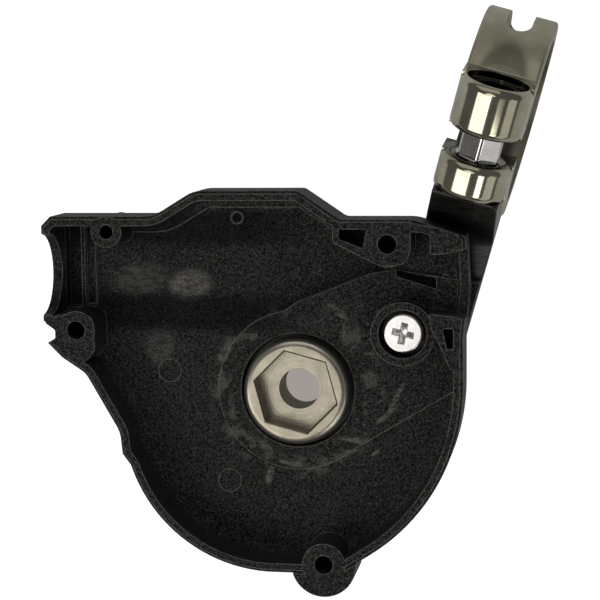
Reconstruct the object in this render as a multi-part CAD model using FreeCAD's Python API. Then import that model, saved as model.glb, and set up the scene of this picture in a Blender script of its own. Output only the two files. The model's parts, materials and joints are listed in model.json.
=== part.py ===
"""Open housing half of a handlebar gear shifter for a hub gear, with its bracket arm and handlebar clamp.

Origin: on the pivot bolt's axis, at the housing's back face. +Z points out of the open cavity.
The arm and the clamp are drawn in a frame whose Y axis runs up the arm, and are then turned
about Z by ARM_TURN. Lengths are in millimetres and angles in degrees.
"""

import FreeCAD
import Part
import math
import os

from FreeCAD import Vector as V

X_AXIS = V(1, 0, 0)
Z_AXIS = V(0, 0, 1)

# Housing
RIM_Z = 9.5
FLOOR_Z = 3.1
PLATFORM_Z = 3.5
PAD_Z = -1.0
WALL = 1.3
STEP_WIDTH = 0.4
STEP_DEPTH = 0.45
BACK_ROUND = 2.4
CAVITY_ROUND = 1.3

# Cable port in the left wall, and the trough that runs on from it
PORT_Y = 16.2
PORT_R = 5.5
TROUGH_START = (-28.2, 7.0, 1.3)
TROUGH_END = (12.0, 11.6, 2.0)

# Cover's locating-pin hole and three screw holes: x, y, hole radius
PIN_HOLE = (-24.8, 22.0, 0.95)
LEFT_HOLE = (-29.3, 8.7, 1.25)
TOP_HOLE = (13.0, 20.45, 1.25)
BOTTOM_HOLE = (4.2, -22.7, 1.25)
COVER_HOLES = (PIN_HOLE, LEFT_HOLE, TOP_HOLE, BOTTOM_HOLE)
COVER_HOLE_DEPTH = 6.5
PIN_BOSS_R = 2.1
LEFT_BOSS_R = 2.6
TOP_BOSS_R = 3.0
BOTTOM_BOSS_R = 2.9
LOBE_R = 4.4
BOSS_ROOT_Z = 1.0
POCKET_Z = 5.0
EAR_TOP_Z = 2.6

# Hollow pivot bolt, M10 x 1
RECESS_R = 7.85
RECESS_Z = 0.4
PIVOT_PAD_R = 9.2
PLATFORM_R = 11.0
HEAD_R = 7.2
HEAD_TOP_Z = 5.5
HEAD_ROUND = 1.0
SOCKET_AF = 10.0
SOCKET_DEPTH = 3.3
SOCKET_LEAD = 0.2
SOCKET_TURN = 45.0
PIVOT_BORE_R = 2.8
PIVOT_SHANK_R = 5.0
PIVOT_END_Z = -3.6
PIVOT_WASHER_R = 7.6
PIVOT_WASHER_T = 0.6
BUSH_R = 6.6
BUSH_FLANGE_R = 7.8
BUSH_FLANGE_T = 1.2

# Retaining screw, M3 pan head
SCREW_X = 14.6
SCREW_Y = 8.15
COLLAR_R = 4.3
COLLAR_TOP_Z = 6.1
COLLAR_BORE_R = 3.25
SCREW_SEAT_Z = 2.8
SCREW_WASHER_R = 3.1
SCREW_WASHER_T = 0.5
SCREW_HEAD_R = 2.8
SCREW_HEAD_H = 2.0
SCREW_HEAD_ROUND = 0.45
SCREW_SHANK_R = 1.45
SCREW_END_Z = -4.2
SCREW_INSERT_R = 2.4
CROSS_WIDTH = 0.85
CROSS_SPAN = 2.9
CROSS_DEPTH = 1.5
CROSS_TURN = -12.0

# Bracket arm
ARM_TURN = -16.0
ARM_LEFT = 10.1
ARM_RIGHT = 19.7
NECK_TOP_LEFT = 10.95
NECK_TOP_RIGHT = 19.6
NECK_TOP_Z = 14.8
PLATE_BACK_Z = -4.5

# Handlebar clamp
BAR_R = 11.1
BAND_R = 13.4
BAND_WIDTH = 9.5
BAND_ROUND = 0.5
RING_X = 15.28
RING_Y = 43.4
RING_Z = -1.5
BOLT_TILT = 13.0
BOLT_OFFSET = 15.4
LUG_R = 4.75
LUG_ROUND = 1.0
UPPER_LUG = (1.1, 7.9)
LOWER_LUG = (-7.2, -2.3)
TANG_LEFT = 12.1
TANG_RIGHT = 17.9
WINDOW_WIDTH = 3.4
WINDOW_LENGTH = 15.7
COUNTERBORE_R = 4.0
COUNTERBORE_DEPTH = 5.0
LEAD_IN = 0.7

# Clamp bolt, M6 x 1
CLAMP_SHANK_R = 2.95
CLAMP_HEAD_R = 3.85
CLAMP_HEAD_H = 3.5
CLAMP_NECK_AF = 5.3
CLAMP_NECK_GAP = 0.15
CLAMP_NECK_TURN = -26.0
CLAMP_SOCKET_AF = 5.0
CLAMP_SOCKET_DEPTH = 2.6
CLAMP_SOCKET_LEAD = 0.6
CLAMP_END_GAP = 0.3
CLAMP_WASHER_R = 3.9
CLAMP_WASHER_T = 0.4

LEAST_ROUND = 0.15
FOOT_STEPS = 4
HOLE_GAP = 0.2
RUNNING_GAP = 0.05


def rounded_wire(corners, z):
    """Closed wire through (x, y, radius) corners, each rounded by its radius."""
    edges = []
    previous_end = None
    first_start = None
    for i, (x, y, radius) in enumerate(corners):
        corner = V(x, y, z)
        before = corners[i - 1]
        after = corners[(i + 1) % len(corners)]
        towards_before = (V(before[0], before[1], z) - corner).normalize()
        towards_after = (V(after[0], after[1], z) - corner).normalize()
        half_angle = towards_before.getAngle(towards_after) / 2
        setback = radius / math.tan(half_angle)
        start = corner + towards_before * setback
        end = corner + towards_after * setback
        if previous_end is None:
            first_start = start
        elif previous_end.distanceToPoint(start) > 1e-6:
            edges.append(Part.makeLine(previous_end, start))
        if radius > 0:
            bisector = (towards_before + towards_after).normalize()
            centre = corner + bisector * (radius / math.sin(half_angle))
            middle = centre - bisector * radius
            edges.append(Part.Arc(start, middle, end).toShape())
        previous_end = end
    if previous_end.distanceToPoint(first_start) > 1e-6:
        edges.append(Part.makeLine(previous_end, first_start))
    return Part.Wire(edges)


def prism(corners, low, high):
    """Solid between two heights over a rounded outline."""
    face = Part.Face(rounded_wire(corners, low))
    return face.extrude(V(0, 0, high - low))


def post(radius, low, high, x=0.0, y=0.0):
    """Upright cylinder between two heights."""
    return Part.makeCylinder(radius, high - low, V(x, y, low), Z_AXIS)


def hexagon(across_flats, turn):
    """Corners of a hexagon on the origin, with one corner at the turn angle."""
    corner_r = across_flats / 2 / math.cos(math.radians(30))
    angles = [math.radians(turn + 60 * k) for k in range(6)]
    return [(corner_r * math.cos(a), corner_r * math.sin(a), 0) for a in angles]


def hex_post(across_flats, low, high, turn=0.0):
    """Upright hexagonal prism on the origin."""
    return prism(hexagon(across_flats, turn), low, high)


def hex_lead(across_flats, top, lead, turn):
    """Hexagonal funnel that widens a socket's mouth by the lead on every side."""
    narrow = rounded_wire(hexagon(across_flats, turn), top - lead)
    wide = rounded_wire(hexagon(across_flats + 2 * lead, turn), top)
    return Part.makeLoft([narrow, wide], True, True)


def edges_at(shape, z):
    """Edges of a shape that lie wholly at one height."""
    return [e for e in shape.Edges if abs(e.BoundBox.ZMin - z) < 1e-4 and abs(e.BoundBox.ZMax - z) < 1e-4]


def save(shape, node):
    """Writes one node's STEP file."""
    shape.removeSplitter().exportStep(f"parts/{node}.step")


def housing_outline():
    """Outer edge of the housing seen from the open side, clockwise from the top left corner."""
    return [
        (-32.6, 24.1, 0.3),
        (-18.4, 24.1, 5.0),
        (-12.8, 27.5, 4.0),
        (1.2, 27.5, 1.2),
        (6.8, 23.7, 1.5),
        (16.4, 23.7, 6.0),
        (20.6, 22.4, 2.0),
        (23.2, 21.5, 0.5),
        (23.5, 14.5, 8.0),
        (22.9, 8.0, 8.0),
        (22.9, -13.25, 27.3),
        (6.2, -24.0, 0.5),
        (-17.1, -24.0, 20.6),
        (-22.2, -9.7, 0.3),
        (-23.3, -8.2, 0.5),
        (-23.6, -5.2, 4.0),
        (-28.2, 2.8, 3.0),
        (-31.4, 4.9, 2.0),
        (-33.9, 7.4, 0.3),
        (-33.9, 22.8, 0.2),
    ]


def inset(corners, distance):
    """Clockwise outline moved inwards by a distance, with its arcs kept concentric."""
    moved = []
    for i, (x, y, radius) in enumerate(corners):
        corner = V(x, y, 0)
        before = corners[i - 1]
        after = corners[(i + 1) % len(corners)]
        arriving = (corner - V(before[0], before[1], 0)).normalize()
        leaving = (V(after[0], after[1], 0) - corner).normalize()
        inward = (V(arriving.y, -arriving.x, 0) + V(leaving.y, -leaving.x, 0)).normalize()
        reach = distance / inward.dot(V(leaving.y, -leaving.x, 0))
        corner = corner + inward * reach
        convex = arriving.cross(leaving).z < 0
        new_radius = max(radius - distance, LEAST_ROUND) if convex else radius + distance
        moved.append((corner.x, corner.y, new_radius))
    return moved


def rounded_foot(corners, low, high, radius):
    """Solid over an outline, its lower edge rounded inwards in FOOT_STEPS flats."""
    wires = []
    for k in range(FOOT_STEPS + 1):
        angle = math.radians(90 * k / FOOT_STEPS)
        section = inset(corners, radius * (1 - math.sin(angle)))
        wires.append(rounded_wire(section, low + radius * (1 - math.cos(angle))))
    foot = Part.makeLoft(wires, True, True)
    return foot.fuse(prism(inset(corners, 0.0), low + radius, high))


def trough():
    """Shallow round-bottomed channel that widens along X from the cable port."""
    sections = []
    for x, half_width, depth in (TROUGH_START, TROUGH_END):
        left = V(x, PORT_Y - half_width, FLOOR_Z)
        right = V(x, PORT_Y + half_width, FLOOR_Z)
        bottom = V(x, PORT_Y, FLOOR_Z - depth)
        sections.append(Part.Wire([Part.Arc(left, bottom, right).toShape(), Part.makeLine(right, left)]))
    return Part.makeLoft(sections, True, True)


def cavity():
    """Everything cut out of the housing block from the open side."""
    space = rounded_foot(inset(housing_outline(), WALL), FLOOR_Z, RIM_Z + 1, CAVITY_ROUND)
    low = prism(inset(housing_outline(), WALL + CAVITY_ROUND), 0.0, FLOOR_Z)
    return space.fuse(trough().common(low))


def platform():
    """Raised flat round the pivot and out to the right wall, a little above the floor."""
    flat = prism(
        [
            (-3.0, 10.0, 0),
            (0.0, 12.05, 2.0),
            (10.3, 16.1, 3.0),
            (13.6, 16.5, 1.0),
            (22.0, 15.2, 0),
            (22.0, 0.6, 0),
            (6.1, -9.0, 3.0),
            (0.0, -6.0, 0),
        ],
        BOSS_ROOT_Z,
        PLATFORM_Z,
    )
    return flat.fuse(post(PLATFORM_R, BOSS_ROOT_Z, PLATFORM_Z))


def left_hole_boss():
    """Screw boss in the left corner, with its square shoulder."""
    shoulder = prism(
        [
            (-29.5, 11.2, 0.5),
            (-26.9, 10.6, 1.2),
            (-26.7, 6.0, 1.0),
            (-28.0, 4.4, 0.6),
            (-30.6, 5.2, 0.5),
            (-33.2, 7.2, 0.5),
            (-33.2, 10.4, 0.3),
        ],
        BOSS_ROOT_Z,
        RIM_Z,
    )
    return shoulder.fuse(post(LEFT_BOSS_R, BOSS_ROOT_Z, RIM_Z, LEFT_HOLE[0], LEFT_HOLE[1]))


def top_hole_block():
    """Screw boss and ribs at the upper right, level with the rim."""
    block = prism(
        [
            (5.8, 23.4, 0),
            (5.8, 20.7, 0.7),
            (11.6, 17.8, 1.5),
            (15.3, 17.8, 1.2),
            (16.1, 19.5, 1.0),
            (16.1, 23.4, 0),
        ],
        BOSS_ROOT_Z,
        RIM_Z,
    )
    side = prism([(18.6, 23.0, 0), (18.6, 19.1, 0.3), (21.6, 19.3, 0.3), (22.4, 21.6, 0)], BOSS_ROOT_Z, RIM_Z)
    bridge = prism([(15.0, 23.4, 0), (15.0, 22.2, 0), (19.5, 21.8, 0), (19.5, 22.6, 0)], BOSS_ROOT_Z, RIM_Z)
    pocket_corners = [(6.6, 22.5, 0.2), (10.3, 22.5, 0.2), (9.8, 19.9, 0.2), (6.65, 21.1, 0.2)]
    boss = post(TOP_BOSS_R, BOSS_ROOT_Z, RIM_Z, TOP_HOLE[0], TOP_HOLE[1])
    return block.fuse([side, bridge, boss]).cut(prism(pocket_corners, POCKET_Z, RIM_Z))


def right_wall_block():
    """Rim-level thickening of the right wall, beside the retaining screw."""
    block = prism(
        [
            (18.4, 11.4, 0.3),
            (22.4, 10.9, 0.3),
            (22.4, 4.0, 0),
            (21.2, 4.0, 0),
            (20.2, 6.4, 1.0),
            (18.8, 9.2, 1.0),
        ],
        BOSS_ROOT_Z,
        RIM_Z,
    )
    pocket = prism([(20.2, 9.4, 0.2), (21.6, 9.4, 0.2), (21.7, 6.7, 0.2), (20.8, 6.7, 0.2)], POCKET_Z, RIM_Z)
    return block.cut(pocket)


def side_ear():
    """Small stop that stands out under the right wall, over the bracket arm's plate."""
    return prism(
        [
            (21.0, 14.8, 0),
            (24.8, 14.8, 0.3),
            (24.3, 13.4, 0.3),
            (23.5, 10.6, 0.5),
            (22.4, 7.0, 0),
            (21.0, 7.0, 0),
        ],
        PAD_Z,
        EAR_TOP_Z,
    )


def groove(left, right, top, bottom, floor_z):
    """Square groove across the left end of the cavity."""
    corners = [(left, top, 0.2), (right, top, 0.2), (right, bottom, 0.2), (left, bottom, 0.2)]
    return prism(corners, floor_z, RIM_Z)


def port_cuts():
    """Half-round port through the left wall and the two grooves behind it."""
    port = Part.makeCylinder(PORT_R, 4.0, V(-35.0, PORT_Y, RIM_Z), X_AXIS)
    return [port, groove(-32.2, -30.1, 22.7, 11.2, 1.4), groove(-29.5, -28.1, 22.7, 11.6, 2.4)]


def rim_step():
    """Narrow step along the rim's outer edge, where the cover seats."""
    outer = prism(housing_outline(), RIM_Z - STEP_DEPTH, RIM_Z + 1)
    return outer.cut(prism(inset(housing_outline(), STEP_WIDTH), RIM_Z - STEP_DEPTH, RIM_Z + 1))


def screw_cuts():
    """Cover holes, the pivot bolt's recess and the retaining screw's collar bore."""
    cuts = [post(r, RIM_Z - COVER_HOLE_DEPTH, RIM_Z + 1, x, y) for x, y, r in COVER_HOLES]
    cuts.append(post(RECESS_R, RECESS_Z, RIM_Z))
    cuts.append(post(PIVOT_SHANK_R + HOLE_GAP, PAD_Z - 1, RIM_Z))
    cuts.append(post(COLLAR_BORE_R, SCREW_SEAT_Z, RIM_Z, SCREW_X, SCREW_Y))
    cuts.append(post(SCREW_SHANK_R + HOLE_GAP, PAD_Z - 1, RIM_Z, SCREW_X, SCREW_Y))
    return cuts


def relief_cuts():
    """Tapered slot beside the platform, lowered right wall, and the notch outside the left boss."""
    slot = prism([(13.4, 16.5, 0), (18.9, 15.5, 0), (18.9, 14.0, 0), (13.7, 15.6, 0)], 1.2, RIM_Z)
    low_wall = prism([(21.0, 19.3, 0.4), (25.0, 20.2, 0), (25.0, 10.0, 0), (21.0, 11.2, 0.4)], 4.6, RIM_Z + 1)
    notch = [(-35.0, 9.9, 0), (-33.9, 9.9, 0.3), (-32.2, 8.7, 0.5), (-32.2, 7.6, 0.3), (-35.0, 6.0, 0)]
    return [slot, low_wall, prism(notch, -1.0, RIM_Z + 1)]


def housing_shell():
    outline = housing_outline()
    body = rounded_foot(outline, 0.0, RIM_Z, BACK_ROUND)
    lobe = post(LOBE_R, 0.0, RIM_Z, BOTTOM_HOLE[0], BOTTOM_HOLE[1])
    lobe = lobe.makeFillet(BACK_ROUND, edges_at(lobe, 0.0))
    body = body.fuse([lobe])
    body = body.cut(rim_step())
    body = body.cut(cavity())
    inside = prism(outline, -1.0, RIM_Z)
    added = [
        post(PIN_BOSS_R, BOSS_ROOT_Z, RIM_Z, PIN_HOLE[0], PIN_HOLE[1]),
        left_hole_boss(),
        top_hole_block(),
        right_wall_block(),
        platform(),
        post(COLLAR_R, BOSS_ROOT_Z, COLLAR_TOP_Z, SCREW_X, SCREW_Y),
    ]
    added = [piece.common(inside) for piece in added]
    added.append(post(BOTTOM_BOSS_R, BOSS_ROOT_Z, RIM_Z, BOTTOM_HOLE[0], BOTTOM_HOLE[1]))
    added.append(post(PIVOT_PAD_R, PAD_Z, BOSS_ROOT_Z))
    added.append(post(COLLAR_R, PAD_Z, BOSS_ROOT_Z, SCREW_X, SCREW_Y))
    added.append(side_ear())
    return body.fuse(added).cut(port_cuts() + screw_cuts() + relief_cuts())


def pivot_bolt():
    head_bottom = RECESS_Z + PIVOT_WASHER_T
    bolt = post(HEAD_R, head_bottom, HEAD_TOP_Z)
    bolt = bolt.makeFillet(HEAD_ROUND, edges_at(bolt, HEAD_TOP_Z))
    bolt = bolt.fuse(post(PIVOT_SHANK_R, PIVOT_END_Z, head_bottom))
    bolt = bolt.cut(hex_post(SOCKET_AF, HEAD_TOP_Z - SOCKET_DEPTH, HEAD_TOP_Z + 1, SOCKET_TURN))
    bolt = bolt.cut(hex_lead(SOCKET_AF, HEAD_TOP_Z, SOCKET_LEAD, SOCKET_TURN))
    return bolt.cut(post(PIVOT_BORE_R, PIVOT_END_Z - 1, HEAD_TOP_Z))


def ring(outer_r, inner_r, low, high, x=0.0, y=0.0):
    """Upright plain ring."""
    return post(outer_r, low, high, x, y).cut(post(inner_r, low, high, x, y))


def pivot_washer():
    return ring(PIVOT_WASHER_R, PIVOT_SHANK_R + HOLE_GAP, RECESS_Z, RECESS_Z + PIVOT_WASHER_T)


def flanged_post(top):
    """Outside of the pivot's threaded bush, with its flange flush with the plate's back."""
    flange_z = PLATE_BACK_Z + BUSH_FLANGE_T
    return post(BUSH_R, flange_z, top).fuse(post(BUSH_FLANGE_R, PLATE_BACK_Z, flange_z))


def pivot_insert():
    """Flanged threaded bush moulded into the arm's plate."""
    bush = flanged_post(PAD_Z)
    return bush.cut(post(PIVOT_SHANK_R + RUNNING_GAP, PLATE_BACK_Z - 1, PAD_Z + 1))


def cross_recess():
    """Four-armed driver recess, narrowing as it goes down from z 0."""
    half_width = CROSS_WIDTH / 2
    half_span = CROSS_SPAN / 2
    along_x = Part.makeBox(CROSS_SPAN, CROSS_WIDTH, CROSS_DEPTH, V(-half_span, -half_width, -CROSS_DEPTH))
    along_y = Part.makeBox(CROSS_WIDTH, CROSS_SPAN, CROSS_DEPTH, V(-half_width, -half_span, -CROSS_DEPTH))
    taper = Part.makeCone(CROSS_WIDTH / 2, CROSS_SPAN * 0.6, CROSS_DEPTH, V(0, 0, -CROSS_DEPTH))
    return along_x.fuse(along_y).common(taper)


def retaining_screw():
    seat = SCREW_SEAT_Z + SCREW_WASHER_T
    top = seat + SCREW_HEAD_H
    head = post(SCREW_HEAD_R, seat, top)
    head = head.makeFillet(SCREW_HEAD_ROUND, edges_at(head, top))
    recess = cross_recess()
    recess.rotate(V(0, 0, 0), Z_AXIS, CROSS_TURN)
    recess.translate(V(0, 0, top))
    shank = post(SCREW_SHANK_R, SCREW_END_Z, seat)
    shank = shank.makeChamfer(0.4, edges_at(shank, SCREW_END_Z))
    screw = head.fuse(shank).cut(recess)
    screw.translate(V(SCREW_X, SCREW_Y, 0))
    return screw


def screw_washer():
    inner_r = SCREW_SHANK_R + HOLE_GAP
    return ring(SCREW_WASHER_R, inner_r, SCREW_SEAT_Z, SCREW_SEAT_Z + SCREW_WASHER_T, SCREW_X, SCREW_Y)


def screw_insert():
    """Plain threaded bush moulded into the arm's plate."""
    return ring(SCREW_INSERT_R, SCREW_SHANK_R + RUNNING_GAP, PLATE_BACK_Z, PAD_Z, SCREW_X, SCREW_Y)


def turned(shape):
    """Turns a shape from the arm's own frame into the housing's frame."""
    shape.rotate(V(0, 0, 0), Z_AXIS, ARM_TURN)
    return shape


def side_profile(corners, left, right):
    """Solid whose (y, z, radius) outline is seen from the arm's side."""
    solid = prism(corners, left, right)
    solid.rotate(V(0, 0, 0), V(1, 1, 1), 120)
    return solid


def on_bolt_axis(shape):
    """Moves a shape drawn along Z from the origin onto the clamp bolt's axis."""
    shape.rotate(V(0, 0, 0), X_AXIS, BOLT_TILT - 90)
    tilt = math.radians(BOLT_TILT)
    foot = V(RING_X, RING_Y - BOLT_OFFSET * math.sin(tilt), RING_Z + BOLT_OFFSET * math.cos(tilt))
    shape.translate(foot)
    return shape


def bar_cylinder(radius, width):
    """Cylinder on the handlebar's axis, centred across the band."""
    return Part.makeCylinder(radius, width, V(RING_X - width / 2, RING_Y, RING_Z), X_AXIS)


def lug(low, high):
    """One clamp lug along the bolt's axis, with its web back to the ring."""
    barrel = post(LUG_R, low, high)
    barrel = barrel.makeFillet(LUG_ROUND, edges_at(barrel, low) + edges_at(barrel, high))
    web = Part.makeBox(BAND_WIDTH, 5.0, high - low, V(-BAND_WIDTH / 2, 0.0, low))
    return on_bolt_axis(barrel.fuse(web))


def tang():
    """Strap that runs on from the band's lower lug and is buried in the moulded arm."""
    return side_profile(
        [
            (32.4, 9.5, 0),
            (29.9, 4.0, 1.0),
            (28.9, -1.9, 0.8),
            (20.0, -1.9, 0.3),
            (20.0, -3.5, 0.3),
            (29.6, -3.5, 1.5),
            (30.9, 0.0, 1.0),
            (34.6, 8.5, 0),
        ],
        TANG_LEFT,
        TANG_RIGHT,
    )


def window():
    """Round-ended slot through the band on its far side from the arm."""
    end_r = WINDOW_WIDTH / 2
    reach = (WINDOW_LENGTH - WINDOW_WIDTH) / 2
    slot = Part.makeBox(WINDOW_WIDTH, 2 * reach, BAND_R + 2, V(-end_r, -reach, 0))
    slot = slot.fuse([post(end_r, 0, BAND_R + 2, 0, -reach), post(end_r, 0, BAND_R + 2, 0, reach)])
    slot.rotate(V(0, 0, 0), X_AXIS, -90)
    slot.translate(V(RING_X, RING_Y, RING_Z))
    return slot


def bolt_holes():
    """Counterbored clearance hole in the upper lug and threaded hole in the lower lug."""
    seat = UPPER_LUG[1] - COUNTERBORE_DEPTH
    mouth = LOWER_LUG[1]
    holes = post(COUNTERBORE_R, seat, UPPER_LUG[1] + 5)
    holes = holes.fuse(post(CLAMP_SHANK_R + HOLE_GAP, UPPER_LUG[0] - 1, seat + 1))
    threaded = post(CLAMP_SHANK_R + RUNNING_GAP, LOWER_LUG[0], mouth + 1)
    lead_in = Part.makeCone(CLAMP_SHANK_R, CLAMP_SHANK_R + LEAD_IN, LEAD_IN, V(0, 0, mouth - LEAD_IN))
    return [on_bolt_axis(holes), on_bolt_axis(threaded.fuse(lead_in))]


def clamp_band():
    gap_height = UPPER_LUG[0] - LOWER_LUG[1]
    gap = on_bolt_axis(Part.makeBox(30.0, 14.0, gap_height, V(-15.0, -7.0, LOWER_LUG[1])))
    band = bar_cylinder(BAND_R, BAND_WIDTH)
    band = band.makeFillet(BAND_ROUND, [e for e in band.Edges if len(e.Vertexes) == 1])
    band = band.fuse([lug(*UPPER_LUG), lug(*LOWER_LUG), tang()])
    band = band.cut([bar_cylinder(BAR_R, BAND_WIDTH + 2), gap, window()] + bolt_holes())
    return turned(band)


def clamp_bolt():
    seat = UPPER_LUG[1] - COUNTERBORE_DEPTH + CLAMP_WASHER_T
    top = seat + CLAMP_HEAD_H
    head = post(CLAMP_HEAD_R, seat, top)
    head = head.makeChamfer(0.3, edges_at(head, top))
    end = LOWER_LUG[0] + CLAMP_END_GAP
    shank = post(CLAMP_SHANK_R, end, seat)
    shank = shank.makeChamfer(0.5, edges_at(shank, end))
    bolt = head.fuse(shank)
    neck_low = LOWER_LUG[1] + CLAMP_NECK_GAP
    neck_high = UPPER_LUG[0] - CLAMP_NECK_GAP
    around_neck = post(CLAMP_SHANK_R + 1, neck_low, neck_high)
    bolt = bolt.cut(around_neck.cut(hex_post(CLAMP_NECK_AF, neck_low, neck_high, CLAMP_NECK_TURN)))
    bolt = bolt.cut(hex_post(CLAMP_SOCKET_AF, top - CLAMP_SOCKET_DEPTH, top + 1))
    flat_r = CLAMP_SOCKET_AF / 2
    lead_z = top - CLAMP_SOCKET_LEAD
    socket_lead = Part.makeCone(flat_r, flat_r + CLAMP_SOCKET_LEAD, CLAMP_SOCKET_LEAD, V(0, 0, lead_z))
    return turned(on_bolt_axis(bolt.cut(socket_lead)))


def clamp_washer():
    seat = UPPER_LUG[1] - COUNTERBORE_DEPTH
    return turned(on_bolt_axis(ring(CLAMP_WASHER_R, CLAMP_SHANK_R + HOLE_GAP, seat, seat + CLAMP_WASHER_T)))


def neck():
    """Block that rises from the plate to the lower lug, narrower at its top."""
    sides = side_profile(
        [
            (31.95, NECK_TOP_Z, 0),
            (26.6, PAD_Z, 2.0),
            (20.0, PAD_Z, 0),
            (20.0, PLATE_BACK_Z, 0),
            (30.2, PLATE_BACK_Z, 2.5),
            (34.4, 7.0, 0),
            (34.4, NECK_TOP_Z, 0),
        ],
        ARM_LEFT,
        ARM_RIGHT,
    )
    front = prism(
        [
            (ARM_LEFT, PLATE_BACK_Z, 0),
            (ARM_LEFT, PAD_Z, 0),
            (NECK_TOP_LEFT, NECK_TOP_Z, 0),
            (NECK_TOP_RIGHT, NECK_TOP_Z, 0.8),
            (ARM_RIGHT, PAD_Z, 0),
            (ARM_RIGHT, PLATE_BACK_Z, 0),
        ],
        -40.0,
        0.0,
    )
    front.rotate(V(0, 0, 0), X_AXIS, 90)
    return sides.common(front)


def plate():
    """Flat plate behind the housing, from the pivot up to the neck."""
    return prism(
        [
            (ARM_LEFT, 28.0, 0),
            (ARM_RIGHT, 28.0, 0),
            (ARM_RIGHT, 8.0, 4.0),
            (8.5, -9.6, 9.0),
            (-9.6, -9.6, 9.5),
            (-9.6, 8.0, 9.5),
            (ARM_LEFT, 17.0, 3.0),
        ],
        PLATE_BACK_Z,
        PAD_Z,
    )


def bracket_arm():
    under_seat = on_bolt_axis(Part.makeBox(30.0, 30.0, 30.0, V(-15.0, -15.0, LOWER_LUG[0])))
    arm = neck().fuse(plate())
    arm = turned(arm.cut([under_seat, bar_cylinder(BAND_R, BAND_WIDTH + 2), tang()]))
    screw_bore = post(SCREW_INSERT_R, PLATE_BACK_Z - 1, 0.0, SCREW_X, SCREW_Y)
    return arm.cut([flanged_post(0.0), screw_bore])


NODES = {
    "housing_shell": housing_shell,
    "bracket_arm": bracket_arm,
    "clamp_band": clamp_band,
    "clamp_bolt": clamp_bolt,
    "clamp_washer": clamp_washer,
    "pivot_bolt": pivot_bolt,
    "pivot_washer": pivot_washer,
    "pivot_insert": pivot_insert,
    "retaining_screw": retaining_screw,
    "screw_washer": screw_washer,
    "screw_insert": screw_insert,
}

os.makedirs("parts", exist_ok=True)
for node, make in NODES.items():
    save(make(), node)
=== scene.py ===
"""Materials, lights and camera for an opened hub-gear shifter housing with its bracket arm and handlebar clamp."""

import json
import math

import bmesh
import bpy
from mathutils import Matrix, Quaternion, Vector


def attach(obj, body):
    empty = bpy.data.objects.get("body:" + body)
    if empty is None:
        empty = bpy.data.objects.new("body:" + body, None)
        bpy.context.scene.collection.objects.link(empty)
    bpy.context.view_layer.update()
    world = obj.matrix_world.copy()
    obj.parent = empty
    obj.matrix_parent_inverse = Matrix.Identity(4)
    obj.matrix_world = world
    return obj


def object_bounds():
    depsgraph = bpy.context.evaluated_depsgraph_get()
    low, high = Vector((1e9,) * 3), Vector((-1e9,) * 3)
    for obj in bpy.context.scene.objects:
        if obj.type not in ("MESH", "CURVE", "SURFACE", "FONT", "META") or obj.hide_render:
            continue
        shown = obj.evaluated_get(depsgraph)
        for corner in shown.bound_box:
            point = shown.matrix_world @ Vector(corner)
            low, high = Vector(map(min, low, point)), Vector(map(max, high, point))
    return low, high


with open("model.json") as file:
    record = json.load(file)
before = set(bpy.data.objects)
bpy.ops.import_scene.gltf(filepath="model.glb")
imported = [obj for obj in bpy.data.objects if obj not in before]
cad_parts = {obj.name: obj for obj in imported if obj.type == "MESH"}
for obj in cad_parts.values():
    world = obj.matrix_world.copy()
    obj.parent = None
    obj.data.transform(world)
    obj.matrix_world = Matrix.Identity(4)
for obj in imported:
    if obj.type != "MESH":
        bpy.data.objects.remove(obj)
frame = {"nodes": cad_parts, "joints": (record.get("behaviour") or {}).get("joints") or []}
CAD_LOW, CAD_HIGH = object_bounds()

MM = 0.001
CENTRE = (CAD_LOW + CAD_HIGH) / 2

# Camera: it looks at the middle of the object from above its upper right
VIEW_AIM = Vector((0.26, 12.22, 2.4)) * MM
VIEW_AZIMUTH = 126.2
VIEW_ELEVATION = 78.6
VIEW_ROLL = -0.65
VIEW_DISTANCE = 251.57 * MM
LENS_MM = 111.0
SENSOR_MM = 36.0

# Places taken from the frame
JOINTS = {joint["name"]: joint for joint in frame["joints"]}
PIVOT_AT = Vector(JOINTS["pivot_bolt_turn"]["pos_m"])
SCREW_AT = Vector(JOINTS["retaining_screw_turn"]["pos_m"])
CLAMP_BOLT_AT = Vector(JOINTS["clamp_bolt_turn"]["pos_m"])
CLAMP_BOLT_AXIS = Vector(JOINTS["clamp_bolt_turn"]["axis"])
UP = Vector((0, 0, 1))

# Radii from the pivot's axis, in millimetres: the ring of scuffs on the shell, and the bolt head's rounded rim,
# where a highlight is painted
SCUFFED_FROM = 8.6
SCUFFED_TO = 13.0
RIM_FROM = 6.4
RIM_FULL = 6.9

# Clamp bolt, in millimetres: heights along it from its joint, and radii from its axis
LUG_GAP = (-2.3, 1.1)
UPPER_LUG_END = 7.9
BOLT_HEAD_SEAT = 3.2
BOLT_SOCKET_R = 3.25
COUNTERBORE_R = 4.0
POLISHED_R = 4.9

# Handlebar's axis, and the dark painted reflection of the upper lug on the band beyond it, in millimetres
RING_AT = Vector((26.65, 37.51, -1.5)) * MM
RING_AXIS = Vector((0.9613, -0.2756, 0.0))
RING_BORE_R = 11.1
LUG_REFLECTION_WIDTH = 6.4
LUG_REFLECTION_LENGTH = 3.4


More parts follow.
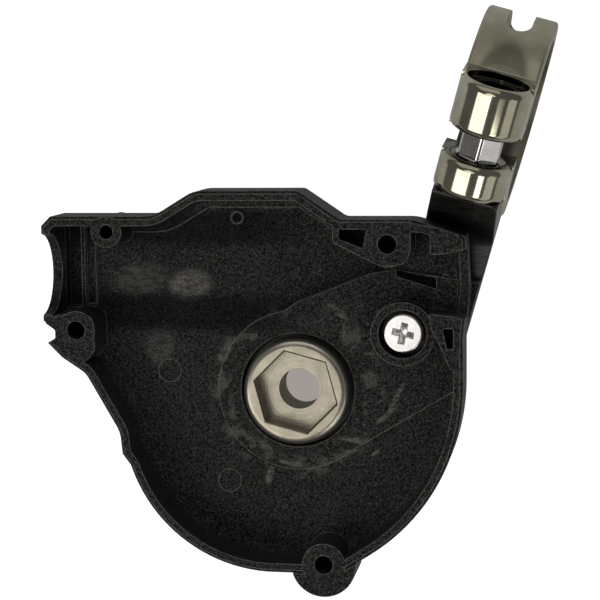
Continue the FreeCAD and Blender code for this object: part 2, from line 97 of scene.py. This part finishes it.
class Shader:
    """A material's node tree, with short calls that add and link nodes. Lengths in it are in millimetres."""

    def __init__(self, name):
        self.material = bpy.data.materials.new(name)
        self.material.use_nodes = True
        self.tree = self.material.node_tree
        self.tree.nodes.clear()
        self.surface = self.add("ShaderNodeBsdfPrincipled")
        output = self.add("ShaderNodeOutputMaterial")
        self.tree.links.new(self.surface.outputs[0], output.inputs["Surface"])
        self.place = self.vector("SCALE", self.add("ShaderNodeTexCoord").outputs["Object"], scale=1 / MM)

    def add(self, kind, **settings):
        node = self.tree.nodes.new(kind)
        for key, value in settings.items():
            setattr(node, key, value)
        return node

    def feed(self, socket, value):
        """Links a socket to an output, or sets its value."""
        if isinstance(value, bpy.types.NodeSocket):
            self.tree.links.new(value, socket)
        elif value is not None:
            socket.default_value = value

    def math(self, operation, a, b=None, c=None):
        node = self.add("ShaderNodeMath", operation=operation)
        for socket, value in zip(node.inputs, (a, b, c)):
            self.feed(socket, value)
        return node.outputs[0]

    def vector(self, operation, a, b=None, scale=None):
        node = self.add("ShaderNodeVectorMath", operation=operation)
        self.feed(node.inputs[0], a)
        if b is not None:
            self.feed(node.inputs[1], b)
        if scale is not None:
            self.feed(node.inputs["Scale"], scale)
        scalar = operation in ("DOT_PRODUCT", "LENGTH", "DISTANCE")
        return node.outputs["Value" if scalar else "Vector"]

    def step(self, value, low, high, to_low=0.0, to_high=1.0):
        """Smooth change from to_low at low to to_high at high."""
        node = self.add("ShaderNodeMapRange", interpolation_type="SMOOTHSTEP")
        for socket, number in zip(node.inputs, (value, low, high, to_low, to_high)):
            self.feed(socket, number)
        return node.outputs[0]

    def noise(self, scale, detail=2.0, roughness=0.5, place=None):
        """Soft random pattern round 0.5. Scale is its count of features in a millimetre."""
        node = self.add("ShaderNodeTexNoise")
        self.feed(node.inputs["Vector"], place or self.place)
        self.feed(node.inputs["Scale"], scale)
        self.feed(node.inputs["Detail"], detail)
        self.feed(node.inputs["Roughness"], roughness)
        return node.outputs[0]

    def mix(self, factor, a, b):
        """Colour between a and b. A mix node's colours are its inputs 6 and 7 and its output 2."""
        node = self.add("ShaderNodeMix", data_type="RGBA")
        self.feed(node.inputs[0], factor)
        self.feed(node.inputs[6], a)
        self.feed(node.inputs[7], b)
        return node.outputs[2]

    def bump(self, height, distance, strength=1.0, normal=None):
        """Normal of a height from 0 to 1 that stands for a distance in millimetres."""
        node = self.add("ShaderNodeBump")
        self.feed(node.inputs["Height"], height)
        self.feed(node.inputs["Distance"], distance * MM)
        self.feed(node.inputs["Strength"], strength)
        self.feed(node.inputs["Normal"], normal)
        return node.outputs[0]

    def stretched(self, scale, turn=0.0):
        """Place scaled by (x, y, z) after a turn about Z in degrees, for marks that run one way."""
        node = self.add("ShaderNodeMapping", vector_type="POINT")
        self.feed(node.inputs["Vector"], self.place)
        self.feed(node.inputs["Rotation"], (0.0, 0.0, math.radians(turn)))
        self.feed(node.inputs["Scale"], scale)
        return node.outputs[0]

    def along(self, point, axis):
        """Distance past a point in the direction of an axis, in millimetres."""
        return self.vector("DOT_PRODUCT", self.vector("SUBTRACT", self.place, tuple(point / MM)), tuple(axis))

    def radius_from(self, point, axis):
        """Distance from a line, in millimetres."""
        offset = self.vector("SUBTRACT", self.place, tuple(point / MM))
        along = self.vector("DOT_PRODUCT", offset, tuple(axis))
        return self.vector("LENGTH", self.vector("SUBTRACT", offset, self.vector("SCALE", tuple(axis), scale=along)))

    def combine(self, x, y=0.0):
        node = self.add("ShaderNodeCombineXYZ")
        for socket, value in zip(node.inputs, (x, y)):
            self.feed(socket, value)
        return node.outputs[0]

    def split(self, vector):
        node = self.add("ShaderNodeSeparateXYZ")
        self.feed(node.inputs[0], vector)
        return node.outputs

    def rounded(self, radius):
        """Normal that rounds sharp edges off by a radius in millimetres."""
        bevel = self.add("ShaderNodeBevel", samples=6)
        self.feed(bevel.inputs["Radius"], radius * MM)
        return bevel.outputs[0]

    def edge(self, radius):
        """1 along edges and 0 on open faces, within a radius in millimetres."""
        plain = self.add("ShaderNodeNewGeometry").outputs["Normal"]
        alike = self.vector("DOT_PRODUCT", self.rounded(radius), plain)
        return self.step(alike, 0.995, 0.88)

    def smudge(self, x, y, length, width, turn):
        """Soft oval patch on the XY plane: 1 inside and 0 outside."""
        node = self.add("ShaderNodeMapping", vector_type="TEXTURE")
        self.feed(node.inputs["Vector"], self.place)
        self.feed(node.inputs["Location"], (x, y, 0.0))
        self.feed(node.inputs["Rotation"], (0.0, 0.0, math.radians(turn)))
        self.feed(node.inputs["Scale"], (length / 2, width / 2, 1e4))
        return self.step(self.vector("LENGTH", node.outputs[0]), 1.15, 0.55)

    def finish(self, colour, roughness, metallic=0.0, normal=None, specular=0.5):
        inputs = self.surface.inputs
        self.feed(inputs["Base Color"], colour)
        self.feed(inputs["Roughness"], roughness)
        self.feed(inputs["Metallic"], metallic)
        self.feed(inputs["Normal"], normal)
        self.feed(inputs["Specular IOR Level"], specular)
        return self.material


def grey(level, warmth=0.0):
    """Neutral colour, made warmer or cooler by a small share."""
    return (level * (1 + warmth), level, level * (1 - warmth), 1.0)


SHELL_PIT = grey(0.001, 0.0)
SHELL_BLACK = grey(0.006, 0.0)
SHELL_DUSTY = grey(0.019, 0.01)
SHELL_GRAIN = grey(0.045, 0.01)
SHELL_GLINT = grey(0.22, 0.02)
SHELL_SCUFF = grey(0.28, 0.03)
SHELL_EDGE_WEAR_AND_HIGHLIGHT = grey(0.34, 0.04)
SHELL_WALL_LIT = grey(0.05, 0.02)

# Shell, in millimetres: the cable trough's middle along Y, and the height at which the rim begins
TROUGH_Y = 16.2
RIM_STARTS_Z = 8.8

# Pale scuffs on the shell's floor, in millimetres: x, y, length, width, turn, strength. The first two, in the cable
# trough, are partly wear and partly a painted highlight of the trough's sheen
SCUFFS_AND_SHEEN = (
    (-15.2, 14.1, 6.5, 4.6, 10.0, 0.85),
    (-22.3, 14.8, 9.0, 5.0, 5.0, 0.4),
    (-10.1, 5.0, 4.2, 1.6, 60.0, 0.6),
    (-10.6, 1.6, 2.6, 1.3, 85.0, 0.55),
    (-4.5, -8.0, 3.0, 1.3, -45.0, 0.6),
    (-4.1, -11.9, 3.0, 1.1, 75.0, 0.8),
    (-0.8, -10.1, 4.4, 1.2, -8.0, 0.65),
    (5.6, 10.8, 4.0, 1.1, -35.0, 0.5),
    (13.4, -0.9, 5.4, 0.7, 62.0, 0.75),
    (12.2, -3.2, 4.4, 0.8, 40.0, 0.6),
    (7.8, -6.8, 4.6, 0.9, -8.0, 0.7),
    (6.9, -8.6, 3.2, 1.0, 20.0, 0.55),
    (10.5, -8.6, 1.5, 0.6, 35.0, 0.8),
    (-19.2, 5.6, 5.5, 4.5, 70.0, 0.3),
)


def shell_plastic():
    """Black moulded plastic with a fine spark texture and dusty scuffs, with painted light: pale specks as glints, a
    painted sheen in the trough, lighter walls, edges paler partly by burnish and partly as painted highlight, and
    painted shade on the trough's slopes.
    """
    s = Shader("shell_plastic")
    east, north, height = s.split(s.place)
    coarse = s.noise(2.6, 2.0, 0.5)
    fine = s.noise(5.0, 2.0, 0.6)
    grain = s.math("MULTIPLY_ADD", coarse, 0.35, s.math("MULTIPLY", fine, 0.65))
    glint_specks = s.step(s.noise(4.2, 1.0, 0.5), 0.63, 0.71)
    dust = s.step(s.noise(0.16, 5.0, 0.62), 0.42, 0.70)
    streaks = s.step(s.noise(1.5, 4.0, 0.65, s.stretched((0.5, 1.6, 1.0), 35.0)), 0.38, 0.60)
    scuffs_and_sheen = 0.0
    for x, y, length, width, turn, strength in SCUFFS_AND_SHEEN:
        patch = s.math("MULTIPLY", s.smudge(x, y, length, width, turn), strength)
        scuffs_and_sheen = s.math("MAXIMUM", patch, scuffs_and_sheen)
    from_pivot = s.radius_from(PIVOT_AT, UP)
    outside = s.step(from_pivot, SCUFFED_FROM, SCUFFED_FROM + 1.0)
    rubbed = s.math("MULTIPLY", outside, s.step(from_pivot, SCUFFED_TO, SCUFFED_TO - 2.0))
    patches = s.step(s.noise(0.5, 3.0, 0.6), 0.50, 0.62)
    rubbed = s.math("MULTIPLY", rubbed, s.math("MULTIPLY", patches, 0.35))
    hairs = s.step(s.noise(1.1, 3.0, 0.55, s.stretched((0.1, 2.6, 1.0), -24.0)), 0.70, 0.75)
    more_hairs = s.step(s.noise(1.2, 3.0, 0.55, s.stretched((0.1, 2.4, 1.0), 58.0)), 0.71, 0.76)
    # Wear mask, which through the first two scuffs also carries the trough's painted sheen
    wear_and_painted_light = s.math("MAXIMUM", s.math("MULTIPLY", scuffs_and_sheen, s.math("MULTIPLY_ADD", streaks, 0.75, 0.25)), rubbed)
    wear_and_painted_light = s.math("MAXIMUM", wear_and_painted_light, s.math("MULTIPLY", s.math("MAXIMUM", hairs, more_hairs), 0.4))
    # Painted shade on the cable trough's slopes below the rim: darker colour and weaker specular there
    across = s.math("ABSOLUTE", s.math("SUBTRACT", north, TROUGH_Y))
    slopes = s.math("MULTIPLY", s.step(across, 2.2, 4.6), s.step(across, 9.0, 7.2))
    slopes = s.math("MULTIPLY", slopes, s.step(east, 6.0, -8.0))
    below_rim = s.step(height, RIM_STARTS_Z, RIM_STARTS_Z - 0.8)
    painted_trough_shade = s.math("MULTIPLY", s.math("MULTIPLY", slopes, below_rim), 0.75)
    colour = s.mix(dust, SHELL_BLACK, SHELL_DUSTY)
    colour = s.mix(s.step(grain, 0.50, 0.44), colour, SHELL_PIT)
    colour = s.mix(s.math("MULTIPLY", s.step(grain, 0.51, 0.58), 0.85), colour, SHELL_GRAIN)
    # Pale specks: painted glints of the spark texture
    colour = s.mix(s.math("MULTIPLY", glint_specks, 0.6), colour, SHELL_GLINT)
    colour = s.mix(s.math("MULTIPLY", wear_and_painted_light, 0.8), colour, SHELL_SCUFF)
    colour = s.mix(painted_trough_shade, colour, SHELL_PIT)
    # Edges paler, partly by burnish and partly as a painted highlight
    edges = s.math("MULTIPLY", s.edge(0.24), s.step(s.noise(1.3, 3.0, 0.6), 0.3, 0.6, 0.4, 1.0))
    colour = s.mix(s.math("MULTIPLY", edges, 0.9), colour, SHELL_EDGE_WEAR_AND_HIGHLIGHT)
    # Steep walls painted lighter, as if lit from the side: painted light
    upright = s.math("ABSOLUTE", s.split(s.add("ShaderNodeNewGeometry").outputs["Normal"])["Z"])
    colour = s.mix(s.step(upright, 0.6, 0.2, 0.0, 0.4), colour, SHELL_WALL_LIT)
    pits = s.step(grain, 0.42, 0.50, 0.35, 1.0)
    roughness = s.step(wear_and_painted_light, 0.0, 1.0, 0.48, 0.4)
    specular = s.math("MULTIPLY", s.math("MULTIPLY_ADD", painted_trough_shade, -0.3, 0.55), pits)
    normal = s.bump(grain, 0.45, 1.0, s.rounded(0.16))
    return s.finish(colour, roughness, normal=normal, specular=specular)


def arm_plastic():
    """Smooth glossy black with faint swirl marks."""
    s = Shader("arm_plastic")
    cloud = s.noise(0.25, 3.0)
    fine = s.noise(1.8, 3.0, 0.6, s.stretched((0.3, 1.5, 1.0), 74.0))
    brushed = s.step(s.noise(0.5, 3.0, 0.6, s.stretched((0.15, 1.2, 0.15), 74.0)), 0.30, 0.70)
    colour = s.mix(s.step(cloud, 0.4, 0.7), grey(0.006), grey(0.012, 0.05))
    colour = s.mix(s.math("MULTIPLY", brushed, 0.6), colour, grey(0.04, 0.12))
    # Edges lighter: a painted highlight
    colour = s.mix(s.math("MULTIPLY", s.edge(0.2), 0.6), colour, grey(0.08))
    roughness = s.step(fine, 0.35, 0.75, 0.22, 0.36)
    normal = s.bump(fine, 0.01, 0.5, s.rounded(0.25))
    return s.finish(colour, roughness, normal=normal, specular=0.5)


PLATING = (0.44, 0.42, 0.32, 1.0)
PLATING_LIGHT = (0.56, 0.54, 0.42, 1.0)
PLATING_EDGE_HIGHLIGHT = (0.75, 0.72, 0.65, 1.0)
PLATING_REFLECTED_DARK = (0.10, 0.095, 0.08, 1.0)
PLATING_SHADE = (0.035, 0.035, 0.028, 1.0)
PIVOT_LIGHT = (0.42, 0.39, 0.31, 1.0)
PIVOT_DARK = (0.32, 0.295, 0.235, 1.0)
PIVOT_RIM_HIGHLIGHT = (0.98, 0.95, 0.86, 1.0)
BRASS_LIGHT = (0.78, 0.58, 0.28, 1.0)
BRASS_DARK = (0.6, 0.42, 0.18, 1.0)


def clamp_metal():
    """Dull warm nickel plating, polished round the two lugs, with painted highlights on its edges, a painted
    reflection of the upper lug, and painted shade in the counterbore, between the lugs and inside the band.
    """
    s = Shader("clamp_metal")
    from_bolt = s.radius_from(CLAMP_BOLT_AT, CLAMP_BOLT_AXIS)
    polished = s.step(from_bolt, POLISHED_R + 0.5, POLISHED_R)
    satin = s.noise(6.0, 3.0, 0.6)
    cloud = s.noise(0.3, 4.0, 0.55)
    colour = s.mix(s.step(cloud, 0.35, 0.7), PLATING, PLATING_LIGHT)
    # Edges brighter: a painted highlight
    colour = s.mix(s.math("MULTIPLY", s.edge(0.2), 0.5), colour, PLATING_EDGE_HIGHLIGHT)
    along_bolt = s.along(CLAMP_BOLT_AT, CLAMP_BOLT_AXIS)
    # Painted shade in the counterbore, in the gap between the lugs and on the band's inner face
    gap_low, gap_high = LUG_GAP
    above_lower = s.step(along_bolt, gap_low - 0.3, gap_low)
    between = s.math("MULTIPLY", above_lower, s.step(along_bolt, gap_high + 0.3, gap_high))
    between = s.math("MULTIPLY", between, s.step(from_bolt, 2 * COUNTERBORE_R, 1.6 * COUNTERBORE_R))
    counterbore = s.step(from_bolt, COUNTERBORE_R + 0.1, COUNTERBORE_R)
    bored = s.math("MAXIMUM", s.math("MULTIPLY", counterbore, 0.55), between)
    inside = s.step(s.radius_from(RING_AT, RING_AXIS), RING_BORE_R + 0.3, RING_BORE_R + 0.1)
    across_band = s.along(CLAMP_BOLT_AT, RING_AXIS)
    inside = s.math("MULTIPLY", inside, s.step(across_band, 3.8, 2.4, 0.35, 1.0))
    shaded = s.math("MULTIPLY", s.math("MAXIMUM", bored, inside), 0.85)
    # Dark oval beyond the upper lug: a painted reflection of the lug in the band
    sideways = s.math("DIVIDE", across_band, LUG_REFLECTION_WIDTH / 2)
    beyond = s.math("DIVIDE", s.math("SUBTRACT", along_bolt, UPPER_LUG_END), LUG_REFLECTION_LENGTH)
    lug_reflection = s.step(s.vector("LENGTH", s.combine(sideways, beyond)), 1.1, 0.75)
    lug_reflection = s.math("MULTIPLY", lug_reflection, s.step(along_bolt, UPPER_LUG_END, UPPER_LUG_END + 0.2))
    colour = s.mix(s.math("MULTIPLY", lug_reflection, 0.65), colour, PLATING_REFLECTED_DARK)
    colour = s.mix(shaded, colour, PLATING_SHADE)
    rough_satin = s.step(satin, 0.3, 0.7, 0.34, 0.5)
    roughness = s.add("ShaderNodeMix", data_type="FLOAT")
    s.feed(roughness.inputs[0], polished)
    s.feed(roughness.inputs[2], rough_satin)
    s.feed(roughness.inputs[3], 0.1)
    relief = s.mix(polished, s.combine(satin), s.combine(0.5))
    normal = s.bump(relief, 0.03, 0.7, s.rounded(0.2))
    return s.finish(colour, roughness.outputs[0], metallic=1.0, normal=normal)


def painted_rim_highlight(s, colour):
    """Pivot bolt's head, with a painted highlight on its rounded rim."""
    rim = s.step(s.radius_from(PIVOT_AT, UP), RIM_FROM, RIM_FULL)
    return s.mix(s.math("MULTIPLY", rim, 0.85), colour, PIVOT_RIM_HIGHLIGHT)


def shaded_bolt_head(s, colour):
    """Clamp bolt's head, painted dark as shade down in its counterbore, and near black inside its socket as painted
    shade.
    """
    head = s.step(s.along(CLAMP_BOLT_AT, CLAMP_BOLT_AXIS), BOLT_HEAD_SEAT - 0.1, BOLT_HEAD_SEAT)
    from_bolt = s.radius_from(CLAMP_BOLT_AT, CLAMP_BOLT_AXIS)
    socket = s.step(from_bolt, BOLT_SOCKET_R + 0.1, BOLT_SOCKET_R - 0.1)
    colour = s.mix(s.math("MULTIPLY", head, 0.8), colour, grey(0.03, 0.05))
    return s.mix(s.math("MULTIPLY", head, socket), colour, grey(0.002))


def turned_metal(name, point, axis, light, dark, roughness, pitch, depth, wear_and_painted_light=None):
    """Metal with lathe marks round an axis. Pitch and depth of the marks are in millimetres. The last argument is a
    function that paints highlight or shade into the colour in places."""
    s = Shader(name)
    radius = s.radius_from(point, axis)
    wobble = s.noise(0.8, 2.0)
    phase = s.math("MULTIPLY_ADD", wobble, 0.35, radius)
    rings = s.noise(1.0, 3.0, 0.7, s.combine(s.math("DIVIDE", phase, pitch)))
    cloud = s.noise(0.5, 4.0, 0.6)
    colour = s.mix(s.step(cloud, 0.3, 0.7), dark, light)
    if wear_and_painted_light:
        colour = wear_and_painted_light(s, colour)
    # Edges painted bright: a painted highlight
    colour = s.mix(s.math("MULTIPLY", s.edge(0.15), 0.6), colour, grey(0.9, 0.02))
    rough = s.step(rings, 0.3, 0.7, roughness * 0.75, roughness * 1.3)
    return s.finish(colour, rough, metallic=1.0, normal=s.bump(rings, depth, 0.6, s.rounded(0.08)))


def washer_black():
    """Matt black washers."""
    s = Shader("washer_black")
    grain = s.noise(4.0, 3.0)
    colour = s.mix(grain, grey(0.004), grey(0.012))
    return s.finish(colour, s.step(grain, 0.3, 0.7, 0.35, 0.55), normal=s.bump(grain, 0.01))


MATERIALS = {
    "housing_shell": shell_plastic(),
    "bracket_arm": arm_plastic(),
    "clamp_band": clamp_metal(),
    "clamp_bolt": turned_metal(
        "bolt_steel", CLAMP_BOLT_AT, CLAMP_BOLT_AXIS, grey(0.72, 0.02), grey(0.6, 0.03), 0.1, 0.12, 0.002, shaded_bolt_head
    ),
    "pivot_bolt": turned_metal(
        "pivot_nickel", PIVOT_AT, UP, PIVOT_LIGHT, PIVOT_DARK, 0.3, 0.15, 0.006, painted_rim_highlight
    ),
    "pivot_insert": turned_metal("brass", PIVOT_AT, UP, BRASS_LIGHT, BRASS_DARK, 0.3, 0.2, 0.008),
    "retaining_screw": turned_metal(
        "screw_zinc", SCREW_AT, UP, grey(0.86, 0.01), grey(0.7, 0.02), 0.22, 0.16, 0.012
    ),
    "pivot_washer": washer_black(),
}
MATERIALS["clamp_washer"] = MATERIALS["clamp_bolt"]
MATERIALS["screw_insert"] = MATERIALS["pivot_insert"]
MATERIALS["screw_washer"] = MATERIALS["pivot_washer"]

# Pieces whose edges are rounded in the mesh, in millimetres. The others have their rounds in the CAD mesh, or in
# their material's normal
EDGE_ROUND = {"retaining_screw": 0.05, "clamp_bolt": 0.06, "pivot_washer": 0.06, "screw_washer": 0.06}

# Least angle between two faces whose edge is rounded, in degrees
LEAST_ANGLE = {"clamp_bolt": 22}
USUAL_LEAST_ANGLE = 35


def dress(node, material):
    """Gives a CAD node its material, and rounds its edges where EDGE_ROUND says so."""
    piece = frame["nodes"][node]
    piece.data.materials.clear()
    piece.data.materials.append(material)
    if node in EDGE_ROUND:
        weld = piece.modifiers.new("weld", "WELD")
        weld.merge_threshold = 1e-6
        flats = piece.modifiers.new("flats", "DECIMATE")
        flats.decimate_type = "DISSOLVE"
        flats.angle_limit = math.radians(1)
        bevel = piece.modifiers.new("edge_round", "BEVEL")
        bevel.width = EDGE_ROUND[node] * MM
        bevel.segments = 2
        bevel.limit_method = "ANGLE"
        bevel.angle_limit = math.radians(LEAST_ANGLE.get(node, USUAL_LEAST_ANGLE))
        bevel.use_clamp_overlap = False
        smooth = piece.modifiers.new("smooth", "WEIGHTED_NORMAL")
        smooth.weight = 60


# Moulding marks inside the shell, in millimetres: x, y, surface height, radius, width of the raised ring
MOULD_MARKS = (
    (-8.15, 23.5, 3.1, 0.8, 0.3),
    (20.1, 15.6, 3.1, 0.35, 0.2),
    (-9.7, -12.8, 3.1, 1.6, 0.15),
    (-17.9, 2.4, 3.1, 1.6, 0.15),
)
MARK_HEIGHT = 0.05
MARK_SINK = 0.02


def mould_mark(name, x, y, surface, radius, width):
    """Low raised ring with sloping sides, sunk a little into the surface."""
    section = (
        (radius - width / 2, -MARK_SINK),
        (radius - width / 4, MARK_HEIGHT),
        (radius + width / 4, MARK_HEIGHT),
        (radius + width / 2, -MARK_SINK),
    )
    sides = 48
    shape = bmesh.new()
    loops = []
    for k in range(sides):
        a = 2 * math.pi * k / sides
        places = [Vector((x + r * math.cos(a), y + r * math.sin(a), surface + h)) for r, h in section]
        loops.append([shape.verts.new(place * MM) for place in places])
    for k in range(sides):
        here = loops[k]
        there = loops[(k + 1) % sides]
        for j in range(len(section)):
            i = (j + 1) % len(section)
            shape.faces.new((here[j], here[i], there[i], there[j]))
    bmesh.ops.recalc_face_normals(shape, faces=shape.faces)
    mesh = bpy.data.meshes.new(name)
    shape.to_mesh(mesh)
    shape.free()
    mesh.materials.append(MATERIALS["housing_shell"])
    mark = bpy.data.objects.new(name, mesh)
    bpy.context.scene.collection.objects.link(mark)
    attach(mark, "housing")


# Floor: the colour of the painted shadow under the pivot, the radii in millimetres between which that turns to
# white, its half width in metres, and how bright it is in reflections
SHADOW_UNDER_HOUSING = (0.30, 0.27, 0.255, 1.0)
SHADED_TO = 9.0
OPEN_FROM = 17.0
FLOOR_REACH = 1.6
FLOOR_IN_MIRROR = 0.2


def build_floor():
    """Wide pale floor just under the clamp band, with a painted shadow round the pivot's axis."""
    mesh = bpy.data.meshes.new("floor")
    floor = bpy.data.objects.new("floor", mesh)
    bpy.context.scene.collection.objects.link(floor)
    shape = bmesh.new()
    level = Matrix.Translation((CENTRE.x, CENTRE.y, CAD_LOW.z))
    bmesh.ops.create_grid(shape, x_segments=8, y_segments=8, size=FLOOR_REACH, matrix=level)
    shape.to_mesh(mesh)
    shape.free()
    s = Shader("floor_white")
    open_sky = s.step(s.radius_from(PIVOT_AT, UP), SHADED_TO, OPEN_FROM)
    rays = s.add("ShaderNodeLightPath").outputs
    glow = s.math("MULTIPLY_ADD", rays["Is Glossy Ray"], FLOOR_IN_MIRROR, rays["Is Camera Ray"])
    material = s.finish(grey(0.5, -0.02), 0.8, specular=0.1)
    s.feed(s.surface.inputs["Emission Color"], s.mix(open_sky, SHADOW_UNDER_HOUSING, grey(1.0)))
    s.feed(s.surface.inputs["Emission Strength"], glow)
    mesh.materials.append(material)


def area_light(name, azimuth, elevation, distance, size, radiance, colour=(1, 1, 1), roll=0.0):
    """Rectangular soft light aimed at the middle of the object. Azimuth 0 is towards +X."""
    data = bpy.data.lights.new(name, "AREA")
    data.shape = "RECTANGLE"
    data.size, data.size_y = size
    data.energy = radiance * math.pi * size[0] * size[1]
    data.color = colour
    light = bpy.data.objects.new(name, data)
    bpy.context.scene.collection.objects.link(light)
    a = math.radians(azimuth)
    e = math.radians(elevation)
    towards = Vector((math.cos(a) * math.cos(e), math.sin(a) * math.cos(e), math.sin(e)))
    light.location = CENTRE + towards * distance
    light.rotation_mode = "QUATERNION"
    light.rotation_quaternion = towards.to_track_quat("Z", "Y") @ Quaternion(UP, math.radians(roll))


def build_lights():
    world = bpy.data.worlds.new("studio")
    bpy.context.scene.world = world
    world.use_nodes = True
    background = world.node_tree.nodes["Background"]
    background.inputs["Color"].default_value = (1.0, 0.985, 0.96, 1.0)
    background.inputs["Strength"].default_value = 0.12
    warm = (1.0, 0.97, 0.9)
    area_light("left_box", 215.6, 49.6, 0.5, (0.40, 0.20), 2.5, warm, 35.6)
    area_light("right_box", 299.2, 46.2, 0.5, (0.14, 0.12), 3.5, warm, -49.0)
    area_light("low_right_box", 318, 21, 0.5, (0.34, 0.22), 0.55)
    area_light("overhead_box", 216, 78, 0.6, (0.27, 0.27), 1.27, (1.0, 0.98, 0.95))
    area_light("back_box", 92, 38, 0.6, (0.6, 0.5), 0.4, (1.0, 0.98, 0.92))


def build_camera():
    data = bpy.data.cameras.new("camera")
    data.lens = LENS_MM
    data.sensor_width = SENSOR_MM
    data.clip_start = 0.01
    data.clip_end = 10.0
    camera = bpy.data.objects.new("camera", data)
    bpy.context.scene.collection.objects.link(camera)
    a = math.radians(VIEW_AZIMUTH)
    e = math.radians(VIEW_ELEVATION)
    back = Vector((math.sin(a) * math.cos(e), -math.cos(a) * math.cos(e), math.sin(e)))
    right = Vector((0, 1, 0)).cross(back).normalized()
    up = back.cross(right)
    turn = Matrix.Rotation(math.radians(VIEW_ROLL), 3, back)
    camera.rotation_mode = "QUATERNION"
    camera.rotation_quaternion = (turn @ Matrix((right, up, back)).transposed()).to_quaternion()
    camera.location = VIEW_AIM + back * VIEW_DISTANCE
    bpy.context.scene.camera = camera


for node, material in MATERIALS.items():
    dress(node, material)
for number, mark in enumerate(MOULD_MARKS, start=1):
    mould_mark(f"mould_mark_{number}", *mark)
build_floor()
build_lights()
build_camera()

bpy.context.scene.view_settings.view_transform = "Standard"
